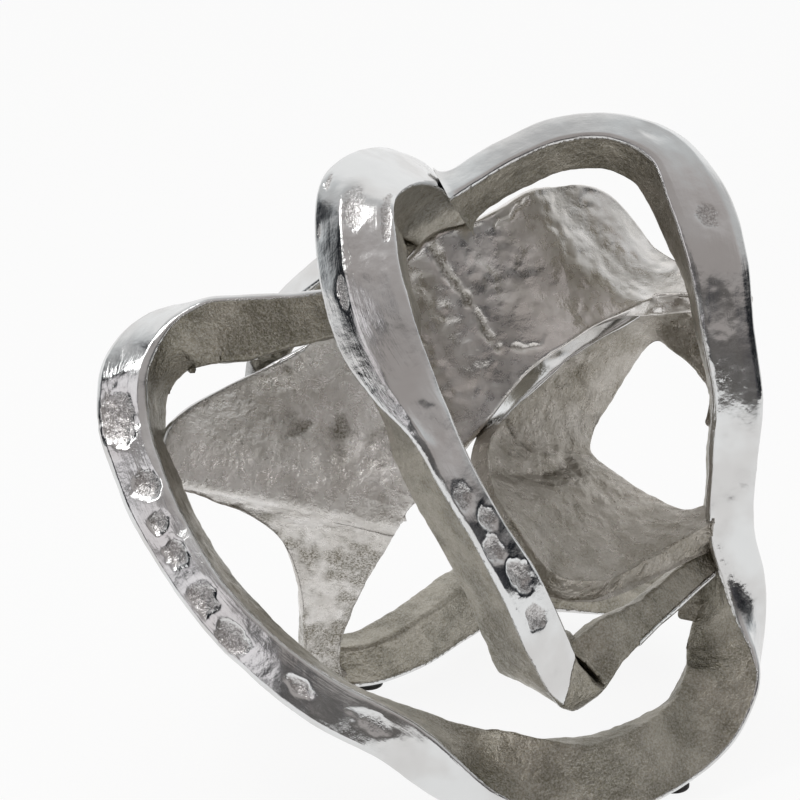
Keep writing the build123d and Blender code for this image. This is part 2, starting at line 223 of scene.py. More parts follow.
def strap_rows(shares):
    """Place, outward direction, face width and depth of every station."""
    table = np.array(shares)
    return np.hstack([table[:, :3] * half_sizes + knot_shift, looking(table[:, 3], table[:, 4]),
                      table[:, 5:6] * strap_face, table[:, 6:7] * strap_depth])


def web_rows(shares):
    """Both long edges and the plate's thickness at every station."""
    table = np.array(shares)
    return np.hstack([table[:, :3] * half_sizes + knot_shift,
                      table[:, 3:6] * half_sizes + knot_shift, table[:, 6:7] * web_plate])


def along(rows, s):
    """Rows and slopes at the places s, in stations, on the Catmull-Rom curve through the rows."""
    ends = np.vstack([2 * rows[0] - rows[1], rows, 2 * rows[-1] - rows[-2]])
    i = np.clip(s.astype(int), 0, len(rows) - 2)
    t = (s - i)[:, None]
    a, b, c, d = (ends[i + k] for k in range(4))
    bend = 2 * a - 5 * b + 4 * c - d
    twist = 3 * b - a - 3 * c + d
    value = b + 0.5 * ((c - a) * t + bend * t ** 2 + twist * t ** 3)
    slope = 0.5 * ((c - a) + 2 * bend * t + 3 * twist * t ** 2)
    return value, slope


def strap_frames(rows, s):
    """Outer middle, inner middle, sideways direction, outer width and inner width at s."""
    row, slope = along(rows, s)
    forward = unit(slope[:, :3])
    outward = row[:, 3:6] - np.sum(row[:, 3:6] * forward, -1, keepdims=True) * forward
    outward = unit(outward)
    outer = row[:, :3]
    inner = outer - outward * row[:, 7:8]
    return outer, inner, np.cross(forward, outward), row[:, 6], row[:, 6] * inner_face_share


def web_frames(rows, s):
    """The same for a web, between its two given edges."""
    row, slope = along(rows, s)
    outer = row[:, :3]
    inner = row[:, 3:6]
    sideways = unit(np.cross(slope[:, :3] + slope[:, 3:6], outer - inner))
    return outer, inner, sideways, row[:, 6], row[:, 6]


paths = {
    "loop": (strap_rows(loop_shares), strap_frames),
    "front": (strap_rows(front_shares), strap_frames),
    "base": (strap_rows(base_shares), strap_frames),
    "upper": (web_rows(upper_shares), web_frames),
    "lower": (web_rows(lower_shares), web_frames),
}
print("stations:", {name: len(rows) for name, (rows, _) in paths.items()})

# %% [markdown]
# The skin of a sand casting is never smooth: the mould was rammed by hand, so the metal has slow
# waves, lumps a few millimetres wide, and the grain of the sand. Blender has noise textures, and a
# Displace modifier could lift the surface by one, but it knows nothing of ground faces and flanks.
# With its own noise the script can move each point as the wheel or the sand did, so outlines and
# reflections wobble like the real ones.


# %% Noise in space
# Large odd numbers that scramble a cell's address and the seed into one code
address_factors = (73856093, 19349663, 83492791)
seed_factor = 40503917
code_factor = 1274126177


def noise(points, size, seed):
    """Gradient noise of about -0.7 to 0.7: each corner of a cube grid of that size holds a random
    slope, and the eight slopes round a point are blended with the fade 6t^5 - 15t^4 + 10t^3."""
    place = points / size
    cell = np.floor(place).astype(np.int64)
    part = place - cell
    fade = part ** 3 * (part * (part * 6 - 15) + 10)
    total = np.zeros(points.shape[:-1])
    for corner in np.ndindex(2, 2, 2):
        x, y, z = np.moveaxis(cell + corner, -1, 0)
        code = (x * address_factors[0]) ^ (y * address_factors[1]) ^ (z * address_factors[2])
        code = code ^ (seed * seed_factor)
        code = (code ^ (code >> 13)) * code_factor & 0x7FFFFFFF
        code = code ^ (code >> 15)
        slopes = np.stack([code & 1023, (code >> 10) & 1023, (code >> 20) & 1023], -1) / 511.5 - 1
        weight = np.where(corner, fade, 1 - fade).prod(-1)
        total += weight * np.sum(slopes * (part - corner), -1)
    return total


sample = np.random.default_rng(3).uniform(0, 0.2, (20000, 3))
print("noise spread:", noise(sample, 5 * mm, 1).std().round(3))

# %% [markdown]
# Every strap and web is one grid. It runs along the path one way and round the cross section the
# other way. The section is a box with round edges: a Bevel modifier would round them too, but it
# would spoil the even grid that the relief needs. Writing each ring point as fixed shares of the
# width, the depth and the edge radius lets the same formula serve all rings at once.


# %% Cross sections
def ring(faces, flanks, arc):
    """Shares of half width, depth and edge radius for the points of one ring, going round: outer
    face, right flank, inner face, left flank, with a quarter circle at each corner."""
    t = np.linspace(-1, 1, faces, endpoint=False)
    up = np.linspace(0, 1, flanks, endpoint=False) + 0.5 / flanks
    bow = np.radians(np.linspace(0, 90, arc, endpoint=False))
    one = np.ones
    across = [t, one(arc), one(flanks), one(arc), -t, -one(arc), -one(flanks), -one(arc)]
    down = [0 * t, 0 * bow, up, one(arc), one(faces), one(arc), 1 - up, 0 * bow]
    side_radius = [-t, np.sin(bow) - 1, 0 * up, np.cos(bow) - 1, t, 1 - np.sin(bow), 0 * up,
                   1 - np.cos(bow)]
    down_outer = [0 * t, 1 - np.cos(bow), 1 - up, 0 * bow, 0 * t, 0 * bow, up, 1 - np.sin(bow)]
    down_inner = [0 * t, 0 * bow, -up, np.sin(bow) - 1, 0 * t, np.cos(bow) - 1, up - 1, 0 * bow]
    return [np.concatenate(part) for part in (across, down, side_radius, down_outer, down_inner)]


outer_edge = 1.6 * mm
inner_edge = 3.0 * mm
web_edge = 3.0 * mm
# How far the middle of a ground face stands above its long edges
face_crown = 0.5 * mm
# Points along a face, a flank and an edge, then the edge radii outside and inside
strap_section = ((30, 34, 5), outer_edge, inner_edge)
web_section = ((12, 96, 6), web_edge, web_edge)
print("points round a strap and a web:", [len(ring(*s[0])[0]) for s in (strap_section, web_section)])

# %% [markdown]
# The grinder left no flat faces. It rolled over the long edges, so each outer face falls away to
# both sides, and on the broad front band the left side is a facet of its own. The facets catch
# other parts of the room than the face between them, which is where the long dark and bright
# streaks come from.

# %% Facets: station, share of the face and fall in mm on the left, the same on the right
facets = {
    "loop": [(0, 0.12, 1.2, 0.12, 1.2), (7, 0.14, 2.0, 0.16, 1.5), (8.6, 0.16, 2.2, 0.20, 1.8),
             (10, 0.14, 1.8, 0.10, 0.7), (14, 0.14, 1.6, 0.10, 0.8), (24, 0.16, 1.6, 0.14, 1.4),
             (28, 0.22, 2.4, 0.16, 1.4), (38, 0.12, 1.2, 0.12, 1.2)],
    "front": [(0, 0.14, 1.5, 0.14, 1.5), (6, 0.20, 1.5, 0.14, 1.5), (8, 0.30, 1.2, 0.12, 1.0),
              (8.8, 0.36, 2.5, 0.12, 1.0), (9.4, 0.38, 6.5, 0.13, 1.0), (10.6, 0.38, 7.5, 0.14, 1.0),
              (11.6, 0.34, 5.5, 0.16, 1.0), (12.6, 0.26, 3.5, 0.16, 1.0), (14, 0.14, 1.6, 0.14, 1.2),
              (18, 0.12, 1.2, 0.12, 1.2), (23, 0.12, 1.0, 0.12, 1.0)],
    "base": [(0, 0.12, 1.2, 0.12, 1.2), (9, 0.12, 1.2, 0.12, 1.2)],
}
facet_softness = 0.12
# The wheel stopped short of the tip, on a slant: first station, slant and last station
unground_tip = (18.0, 0.35, 20.4)
print("facet rows:", {path: len(rows) for path, rows in facets.items()})

# %% [markdown]
# A web's upper edge ends in a lip, thicker than the plate, and on the left web the lip stands out to
# the back as a shelf. The wheel ran along parts of the lips, so they shine. It also went lightly over
# the whole upper web, which is satin smooth, while the left web kept its casting skin. Painted shade
# darkens the left web towards its foot, and the whole lower web a little. The lips are part of the
# webs' own grids, because a separate strip would show a seam that the real ones don't have.

# %% Lips and finish of the webs
# How much each side of a web's upper edge is thickened, and how far down the lip reaches
lips = {"upper": (0.7 * mm, 4 * mm), "lower": (2.8 * mm, 6 * mm)}
# How far the lip stands out at the back: station and millimetres
shelves = {"upper": [(8.0, 0), (8.8, 8), (10.8, 11), (12.0, 0)], "lower": [(0, 0), (16, 0)]}
shelf_reach_share = 1.4
# Where the wheel ran along a lip: station and share. Full polish grinds a band as wide as the
# reach less the margin
lip_polish = {"upper": [(6.5, 0.25), (7.5, 0.0), (8.4, 0.9), (11.5, 0.9), (12.5, 0.0)],
              "lower": [(2.5, 0.4), (4.0, 1.0), (7.5, 1.0), (8.6, 0.2), (9.5, 0.0)]}
lip_margin = 3 * mm
polish_reach = 6.5 * mm
# Where painted shade darkens a web, and where the wheel went over the whole web: station and share
web_shade = {"upper": [(12.4, 0.0), (14.2, 0.65)], "lower": [(0, 0.25), (16, 0.25)]}
web_dressing = {"upper": [(6.8, 1.0), (8.0, 0.0)], "lower": [(0, 0.1), (14, 0.3)]}
print("lips in mm:", {path: (thick / mm, reach / mm) for path, (thick, reach) in lips.items()})

# %% [markdown]
# The tables above give values at a few stations, and straight lines between them give the rest. A
# facet falls away slowly at its ridge and then as a slope, like a face that a wheel rolled over.


# %% Values between stations and the fall of the facets
def at_stations(table, s):
    """The table's second column at the places s, as a column: straight lines between its stations."""
    return np.interp(s, *np.array(table).T)[:, None]


def facet_fall(path, s, across):
    """How far the outer face has fallen at each ring point: fall times t^2 / (t + softness), where
    t goes from 0 at the facet's ridge to 1 at the edge of the face."""
    table = np.array(facets[path])
    left_share, left_fall, right_share, right_fall = (
        np.interp(s, table[:, 0], table[:, k])[:, None] for k in range(1, 5))
    left = np.clip((across - 1) / (2 * left_share) + 1, 0, 1)
    right = np.clip((-across - 1) / (2 * right_share) + 1, 0, 1)
    return mm * (left_fall * left ** 2 / (left + facet_softness)
                 + right_fall * right ** 2 / (right + facet_softness))


# %% [markdown]
# Stations are unevenly spaced, so rings set by station would crowd in some places and stretch in
# others. The length of each path is measured first, and the rings are then spread evenly along it.


# %% Even steps along a path
# Enough short steps to measure a path's length to well under a millimetre
measuring_steps = 2000


def length_table(path):
    """Fine stations of a path and the length of its middle line up to each."""
    rows, frames = paths[path]
    fine = np.linspace(0, len(rows) - 1, measuring_steps)
    outer, inner = frames(rows, fine)[:2]
    steps = np.linalg.norm(np.diff((outer + inner) / 2, axis=0), axis=-1)
    return fine, np.concatenate([[0], np.cumsum(steps)])


lengths = {path: length_table(path) for path in paths}
print("path lengths in mm:", {path: round(table[1][-1] / mm) for path, table in lengths.items()})


def spaced(path, start, end, step):
    """Stations from start to end, one every step of length along the middle line, and how long
    that stretch is."""
    fine, length = lengths[path]
    low, high = np.interp([start, end], fine, length)
    count = max(6, math.ceil((high - low) / step))
    return np.interp(np.linspace(low, high, count + 1), length, fine), high - low


# %% [markdown]
# The place of a ring on its path fixes its facets or its lip, and how far each point lies inside the
# ground face. That last number goes into the mesh, and the finish reads it from there.


# %% The ideal surface, before any wear
def surface(path, s, grow=0.0):
    """Points of shape (rings, ring points, 3), how far each lies inside the ground face, and its
    place in the strap's own length, width and depth:
    point = outer middle + x sideways - y outward, with x and y from the ring's shares."""
    rows, frames = paths[path]
    web = path in lips
    outer, inner, sideways, wide, narrow = frames(rows, s)
    depth = np.linalg.norm(outer - inner, axis=-1)
    outward = (outer - inner) / depth[:, None]
    outer = outer + outward * np.reshape(grow, (-1, 1))
    depth = (depth + 2 * grow)[:, None]
    wide = (wide + 2 * grow)[:, None]
    narrow = (narrow + 2 * grow)[:, None]
    counts, outer_radius, inner_radius = web_section if web else strap_section
    across, down, side, down_outer, down_inner = ring(*counts)
    y = depth * down + outer_radius * down_outer + inner_radius * down_inner
    half = (wide + (narrow - wide) * y / depth) / 2
    if web:
        thick, reach = lips[path]
        half = half + thick * np.exp(-((depth - y) / reach) ** 2)
    x = half * across + np.where(down < 0.5, outer_radius, inner_radius) * side
    if web:
        shelf = at_stations(shelves[path], s) * mm
        near_lip = np.exp(-((depth - y) / (shelf_reach_share * reach)) ** 2)
        x = x - shelf * np.clip(-across, 0, 1) * near_lip
        inside = y - depth - lip_margin + polish_reach * at_stations(lip_polish[path], s)
    else:
        inside = np.where(y < outer_radius, half - np.abs(x), -y)
        if path == "front":
            first, slant, last = unground_tip
            left_rough = (s[:, None] > first + slant * x / half) & (s[:, None] < last)
            inside = np.where(left_rough, -mm, inside)
        fall = facet_fall(path, s, x / half) + face_crown * (x / half) ** 2
        y = y + fall * (1 - y / depth)
    points = (outer[:, None] + x[..., None] * sideways[:, None]
              - y[..., None] * outward[:, None])
    run = np.interp(s, *lengths[path])[:, None] + 0 * x
    return points, inside, np.stack([run, x, y], -1)


def grid_normals(points):
    """Unit normals of a grid that is closed round the ring: the cross product of its two slopes."""
    forward = np.gradient(points, axis=0)
    round_ring = np.roll(points, -1, axis=1) - np.roll(points, 1, axis=1)
    return unit(np.cross(round_ring, forward))


print("points of a short strap:", surface("loop", np.linspace(1, 2, 5))[0].shape)

# %% [markdown]
# The relief only ever takes metal away, so no casting swells. It is one field in space, so it runs
# on across every joint. Polished faces get slow waves and long shallow furrows from the wheel, while
# flanks and webs keep the lumps of the sand.

# %% Relief
# Metal taken in mm, size of its features in mm and seed of each noise
slow_waves = (0.42, 21, 1)
short_waves = (0.16, 8, 2)
wheel_furrows = (0.16, 6, 3)
broad_lumps = (0.40, 8, 4)
sand_lumps = (0.25, 3.2, 5)
web_waves = (0.30, 14, 7)
web_lumps = (0.22, 4.5, 8)
# Furrows are about six times as long as they are wide
furrow_stretch = np.array([0.16, 1, 1])
# The ground skin gives way to sand over this width, from this share of it on
ground_border = 1.5 * mm
border_share = 0.6
# How much of the short waves and of the lumps the wheel took off a dressed web
waves_worn = 0.7
lumps_worn = 0.8
# Stretches the noise so that its highest and lowest places reach twice the amount and none
noise_gain = 1.4


def taken(mark, points):
    """Metal taken away by one noise: up to twice the amount, and never less than none."""
    amount, size, seed = mark
    return amount * mm * np.clip(1 + noise_gain * noise(points, size * mm, seed), 0, 2)


def relief(points, flow, inside, web, dressed):
    """Waves everywhere, furrows where it was ground, lumps where it wasn't, and all but the slow
    waves worn down where the wheel went over a web."""
    ground = np.clip(inside / ground_border + border_share, 0, 1)
    waves = taken(slow_waves, points) + (1 - waves_worn * dressed) * taken(short_waves, points)
    furrows = taken(wheel_furrows, flow * furrow_stretch)
    lumps = taken(broad_lumps, points) + taken(sand_lumps, points)
    if web:
        waves = waves + taken(web_waves, points)
        lumps = lumps + taken(web_lumps, points)
    return waves + ground * furrows + (1 - ground) * (1 - lumps_worn * dressed) * lumps


print("deepest relief of a strap in mm:", round(2 * sum(mark[0] for mark in (
    slow_waves, short_waves, broad_lumps, sand_lumps)), 2))

# %% [markdown]
# A grid becomes a mesh in one go: the corner numbers of all faces are worked out as an array. Both
# ends are closed with a fan of triangles round a middle point, and the rim of the fan is marked
# sharp, so that its flat face doesn't soften the shading of the strap beside it.


# %% Meshes from grids
def closed_faces(rings, around):
    """Corner numbers of the quads between rings, and of the fans to the two poles, which come last:
    each quad joins a point, the next ring's point and their neighbours round the ring."""
    number = np.arange(rings * around).reshape(rings, around)
    step = np.roll(number, -1, axis=1)
    quads = np.stack([number[:-1], number[1:], step[1:], step[:-1]], -1).reshape(-1, 4)
    pole = np.full(around, rings * around)
    start_fan = np.stack([pole, number[0], step[0]], -1)
    end_fan = np.stack([pole + 1, step[-1], number[-1]], -1)
    return [*quads.tolist(), *start_fan.tolist(), *end_fan.tolist()]


def mark_rims(mesh, rings, around):
    """Marks the edges of the first and last ring as sharp."""
    ends = np.empty(len(mesh.edges) * 2, np.int32)
    mesh.edges.foreach_get("vertices", ends)
    ends = ends.reshape(-1, 2)
    points = rings * around
    on_first = (ends < around).all(1)
    on_last = ((ends >= points - around) & (ends < points)).all(1)
    sharp = mesh.attributes.new("sharp_edge", "BOOLEAN", "EDGE")
    sharp.data.foreach_set("value", on_first | on_last)


def mesh_from_grid(name, points, values):
    """A closed mesh from a grid of points, with the values of each point as attributes."""
    rings, around = points.shape[:2]
    vertices = np.vstack([points.reshape(-1, 3), points[0].mean(0), points[-1].mean(0)])
    mesh = bpy.data.meshes.new(name)
    mesh.from_pydata(vertices, [], closed_faces(rings, around))
    for key, value in values.items():
        vector = value.ndim == 3
        layer = mesh.attributes.new(key, "FLOAT_VECTOR" if vector else "FLOAT", "POINT")
        poles = np.stack([value[0].mean(0), value[-1].mean(0)])
        flat = np.concatenate([value.reshape(rings * around, -1), poles.reshape(2, -1)])
        layer.data.foreach_set("vector" if vector else "value", flat.ravel().astype(np.float32))
    mesh.shade_smooth()
    mark_rims(mesh, rings, around)
    piece = bpy.data.objects.new(name, mesh)
    bpy.context.scene.collection.objects.link(piece)
    return piece


print("faces of a grid of 3 rings of 4 points:", len(closed_faces(3, 4)))


# %% A piece takes the place of its solid
def dress(piece, node, material):
    """Puts a piece in place of its solid, on the knot's one body, with its finish."""
    piece.data.materials.append(material)
    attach(piece, "root")
    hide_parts(node)


# %% [markdown]
# Nickel plate over cast aluminium is a metal, so all its colour is in its reflections. What tells
# polished from cast is roughness and relief: the wheel leaves a soft mirror with fine scratches,
# while the sand leaves a matt grain, and its sparkle and an olive shade in its hollows are painted
# into the colour. Three materials on one piece would meet in hard lines, so each casting has a single
# material that blends three finishes. One small function adds every node.


# %% Colours and node helper
def linear(code):
    """An sRGB hex colour as linear red, green, blue and alpha."""
    parts = [int(code[k:k + 2], 16) / 255 for k in (1, 3, 5)]
    return (*[c / 12.92 if c <= 0.04045 else ((c + 0.055) / 1.055) ** 2.4 for c in parts], 1.0)


def add(tree, kind, settings, inputs, output=0):
    """Adds a node, makes its own settings, sets or links each input and gives one of its outputs."""
    node = tree.nodes.new(f"ShaderNode{kind}")
    for key, value in settings.items():
        setattr(node, key, value)
    for key, value in inputs.items():
        if isinstance(value, bpy.types.NodeSocket):
            tree.links.new(value, node.inputs[key])
        else:
            node.inputs[key].default_value = value
    return node.outputs[output] if node.outputs else None


def new_material(name):
    """An empty material and its node tree."""
    material = bpy.data.materials.new(name)
    material.use_nodes = True
    material.node_tree.nodes.clear()
    return material, material.node_tree


# Settings of the nodes that come back most
total = {"operation": "ADD"}
product = {"operation": "MULTIPLY"}
product_plus = {"operation": "MULTIPLY_ADD"}
smooth = {"interpolation_type": "SMOOTHSTEP"}
number_mix = {"data_type": "FLOAT"}
colour_mix = {"data_type": "RGBA"}
print("mid grey is", round(linear("#808080")[0], 3), "in linear light")

# %% [markdown]
# All patterns of the casting start as noise, each with the size of the real thing. Sand grains of
# 0.2 mm would vanish in the picture, so the finest grain is drawn at about 0.7 mm. The wheel's
# marks are the same noise, stretched along the strap. Masks then say where each finish begins:
# smooth steps over a noise, or over what the mesh knows about itself.

# %% Patterns of the plated castings
# Width of the main features in mm, detail and roughness
grains = {
    "border": (2.2, 4, 0.7), "pit border": (1.3, 3, 0.6), "pit floor": (1.7, 4, 0.6),
    "clouds": (17, 4, 0.6), "sparkle": (0.8, 4, 0.7), "plate tone": (24, 3, 0.5),
    "wear": (13, 4, 0.65), "patches": (19, 2, 0.5), "ripples": (5, 3, 0.5),
    "fine sand": (0.7, 3, 0.6), "coarse sand": (2.4, 3, 0.5),
}
wheel_marks = {"brushed": (0.5, 3, 0.7), "combed": (1.7, 4, 0.65)}
wheel_stretch = (0.05, 1.0, 1.0)
# Smooth steps: what is measured, where the step starts and ends, and its values there
steps = {
    "ground": ("ragged inside_mm", -0.4, 0.3, 0.0, 1.0),
    "pit": ("ragged pitted", 0.2, 0.8, 0.0, 1.0),
    "cast": ("dressed", 0.15, 0.9, 1.0, 0.2),
    "cloudy": ("clouds", 0.36, 0.64, 0.0, 1.0),
    "speck": ("sparkle", 0.34, 0.66, 0.0, 1.0),
    # Painted shade: olive darkening where the hollow mask is high, let through less on the specks
    "shaded": ("hollow", 0.5, 1.2, 0.0, 0.9),
    "shade between specks": ("speck", 0.0, 0.9, 1.0, 0.35),
    "bright plate": ("plate tone", 0.38, 0.62, 0.0, 1.0),
    "worn": ("wear", 0.38, 0.66, 0.0, 1.0),
    "combed patch": ("patches", 0.45, 0.62, 0.0, 1.0),
}
# How far noise pushes the border of the ground face, in mm, and that of a pit, as a share
border_wander = 3.2
pit_wander = 0.96
print("noises:", len(grains) + len(wheel_marks), "and steps:", len(steps))


# %% Noises, attributes and masks
def casting_fields(tree):
    """Every noise, mesh attribute and mask of a casting, by name."""
    place = add(tree, "TexCoord", {}, {}, "Object")
    flow = add(tree, "Attribute", {"attribute_name": "flow"}, {}, "Vector")
    stretched = add(tree, "Mapping", {}, {"Vector": flow, "Scale": wheel_stretch})
    fields = {}
    for vector, table in ((place, grains), (stretched, wheel_marks)):
        for key, (size, detail, roughness) in table.items():
            fields[key] = add(tree, "TexNoise", {}, {
                "Vector": vector, "Scale": 1 / (size * mm), "Detail": detail,
                "Roughness": roughness}, "Fac")
    for key in ("inside_mm", "pitted", "hollow", "dressed"):
        fields[key] = add(tree, "Attribute", {"attribute_name": key}, {}, "Fac")
    for key, border, wander in (("inside_mm", "border", border_wander),
                                ("pitted", "pit border", pit_wander)):
        push = add(tree, "Math", product_plus, {0: fields[border], 1: wander, 2: -wander / 2})
        fields[f"ragged {key}"] = add(tree, "Math", total, {0: fields[key], 1: push})
    for key, (source, start, end, at_start, at_end) in steps.items():
        fields[key] = add(tree, "MapRange", smooth, {
            "Value": fields[source], "From Min": start, "From Max": end,
            "To Min": at_start, "To Max": at_end})
    return fields


# %% [markdown]
# The colour is built up like paint. The sand has two tones in broad clouds. Painted sparkle comes on
# top of it, and olive painted shade into its hollows, its grooves and the darker stretches of the
# webs. Then the plate covers what was ground, and last come the floors of the pits, which the wheel
# never reached.

# %% Colour of a casting
# Pale specks painted into the sand's colour stand in for the sparkle of its grain
painted_sparkle_share = 0.35
painted_sparkle_colour = "#DCD9D5"
# Olive painted shade for the recesses, the grooves and the darker stretches of the webs
painted_shade_colour = "#625C4B"
plate_colours = ("#D2D1D0", "#DDDEDE")
pit_colours = ("#A3A09E", "#D0CECD")


def casting_colour(tree, fields, sand_dark, sand_light):
    """Mixes from the sand up to the pits: each takes the colour under it and lays one over it."""
    # Painted sparkle: pale specks where the sand kept its casting skin
    shown = add(tree, "Math", product, {0: fields["cast"], 1: painted_sparkle_share})
    shown = add(tree, "Math", product, {0: fields["speck"], 1: shown})
    # Painted shade: the hollow mask, thinned where the specks are
    painted_shade = add(tree, "Math", product, {0: fields["shaded"], 1: fields["shade between specks"]})
    sand, plate, floor = (
        add(tree, "Mix", colour_mix, {"Factor": fields[key], 6: linear(low), 7: linear(high)}, 2)
        for key, (low, high) in (("cloudy", (sand_dark, sand_light)), ("bright plate", plate_colours),
                                 ("speck", pit_colours)))
    colour = sand
    for factor, over in ((shown, linear(painted_sparkle_colour)), (painted_shade, linear(painted_shade_colour)),
                         (fields["ground"], plate), (fields["pit"], floor)):
        colour = add(tree, "Mix", colour_mix, {"Factor": factor, 6: colour, 7: over}, 2)
    return colour


# %% [markdown]
# Gloss follows the same three finishes. The plate is a soft mirror, duller where it is worn and
# along the scratches. The sand is satin. The height behind the bump has them too: sand grains, a
# mirror with slow ripples and combed patches, and the coarse floor of the pits.

# %% Gloss and fine relief of a casting
plate_gloss = (0.05, 0.17)
scratch_gloss = 0.09
sand_gloss_spread = (-0.06, 0.07)
# The sand goes from its glossiest to its dullest between these values of the ripples
sand_gloss_step = (0.35, 0.65)
pit_gloss = 0.24
# Heights in mm
fine_sand_height = 0.5
brushed_height = 0.03
ripple_height = 0.22
combed_height = 0.16
pit_floor_height = 0.5


def casting_gloss(tree, fields, sand_gloss):
    """Roughness of the sand, the plate and the pits, mixed by their masks."""
    worn = add(tree, "Mix", number_mix, {
        "Factor": fields["worn"], 2: plate_gloss[0], 3: plate_gloss[1]})
    scratches = add(tree, "Math", product, {0: fields["brushed"], 1: scratch_gloss})
    plate = add(tree, "Math", total, {0: worn, 1: scratches})
    sand = add(tree, "MapRange", smooth, {
        "Value": fields["ripples"], "From Min": sand_gloss_step[0], "From Max": sand_gloss_step[1],
        "To Min": sand_gloss + sand_gloss_spread[0], "To Max": sand_gloss + sand_gloss_spread[1]})
    skin = add(tree, "Mix", number_mix, {"Factor": fields["ground"], 2: sand, 3: plate})
    return add(tree, "Mix", number_mix, {"Factor": fields["pit"], 2: skin, 3: pit_gloss})


def casting_height(tree, fields, sand_height):
    """Height of the sand, the plate and the pits in mm, mixed by their masks."""
    fine = add(tree, "Math", product, {0: fields["fine sand"], 1: fine_sand_height})
    sand = add(tree, "Math", total, {0: fine, 1: fields["coarse sand"]})
    kept = add(tree, "Math", product, {0: fields["cast"], 1: sand_height})
    sand = add(tree, "Math", product, {0: sand, 1: kept})
    brushed = add(tree, "Math", product, {0: fields["brushed"], 1: brushed_height})
    ripples = add(tree, "Math", product, {0: fields["ripples"], 1: ripple_height})
    plate = add(tree, "Math", total, {0: brushed, 1: ripples})
    combed = add(tree, "Math", product, {0: fields["combed"], 1: fields["combed patch"]})
    plate = add(tree, "Math", product_plus, {0: combed, 1: combed_height, 2: plate})
    floor = add(tree, "Math", product, {0: fields["pit floor"], 1: pit_floor_height})
    skin = add(tree, "Mix", number_mix, {"Factor": fields["ground"], 2: sand, 3: plate})
    return add(tree, "Mix", number_mix, {"Factor": fields["pit"], 2: skin, 3: floor})


# %% Nickel-plated casting: a soft mirror where it was ground, sandy and grey where it wasn't
def nickel_plated_casting(name, sand_light, sand_dark, sand_gloss, sand_height):
    """A metal whose colour, roughness and fine relief are told apart by the mesh's attributes."""
    material, tree = new_material(name)
    fields = casting_fields(tree)
    bump = add(tree, "Bump", {}, {
        "Height": casting_height(tree, fields, sand_height), "Strength": 1.0, "Distance": mm})
    shader = add(tree, "BsdfPrincipled", {}, {
        "Base Color": casting_colour(tree, fields, sand_dark, sand_light), "Metallic": 1.0,
        "Roughness": casting_gloss(tree, fields, sand_gloss), "Normal": bump})
    add(tree, "OutputMaterial", {}, {"Surface": shader})
    return material


# %% [markdown]
# The pads are pressed wool felt, matt and nearly black. Real fibres are about 0.02 mm thick, far too
# fine to show, so the noise is drawn at half a millimetre, where it still reads as fuzz. A little
# sheen gives the soft bright rim that short fibres have.

# %% Pressed felt of the pads
felt_fibre = 0.5 * mm
felt_fuzz = 0.3 * mm
felt_colours = ("#1F1D1C", "#3B3836")


def pressed_felt():
    """Dark wool with short tangled fibres: a warped noise for both its colour and its fuzz."""
    material, tree = new_material("pressed_wool_felt")
    place = add(tree, "TexCoord", {}, {}, "Object")
    fibres = add(tree, "TexNoise", {}, {
        "Vector": place, "Scale": 1 / felt_fibre, "Detail": 6.0, "Roughness": 0.8,
        "Distortion": 1.5}, "Fac")
    colour = add(tree, "Mix", colour_mix, {
        "Factor": fibres, 6: linear(felt_colours[0]), 7: linear(felt_colours[1])}, 2)
    bump = add(tree, "Bump", {}, {"Height": fibres, "Strength": 0.8, "Distance": felt_fuzz})
    shader = add(tree, "BsdfPrincipled", {}, {
        "Base Color": colour, "Roughness": 0.95, "Sheen Weight": 0.4, "Normal": bump})
    add(tree, "OutputMaterial", {}, {"Surface": shader})
    return material


# %% The finishes of this knot: name, light and dark sand, its roughness and its height in mm
# One plated metal in lit and shaded copies: the upper web's pale sand is painted light, and the darker
# olive sands of the straps and the lower webs are painted shade
shaded_strap_nickel = nickel_plated_casting("nickel_plated_sand_cast_strap_in_painted_shade", "#A29C8E", "#777262", 0.34, 0.75)
lit_web_nickel = nickel_plated_casting("nickel_plated_dressed_web_in_painted_light", "#EAE7E4", "#D2CEC9", 0.28, 0.75)
shaded_web_nickel = nickel_plated_casting("nickel_plated_sand_cast_web_in_painted_shade", "#B4AEA5", "#90897C", 0.31, 0.65)
felt = pressed_felt()
finish = {"upper": lit_web_nickel, "lower": shaded_web_nickel}
print("materials:", shaded_strap_nickel.name, lit_web_nickel.name, shaded_web_nickel.name, felt.name)

# %% [markdown]
# Pits are where gas was trapped under the sand and the wheel opened it. Between them are dents that
# it rolled into. Cutting them out with small balls would leave knife-sharp rims and long thin faces,
# so they are bowls in a field that lowers the grid. They are placed on the polished faces:
# the station, the share of the half width, how long and how wide they are and how deep, in
# millimetres. The last number is how much of the hollow stayed rough.

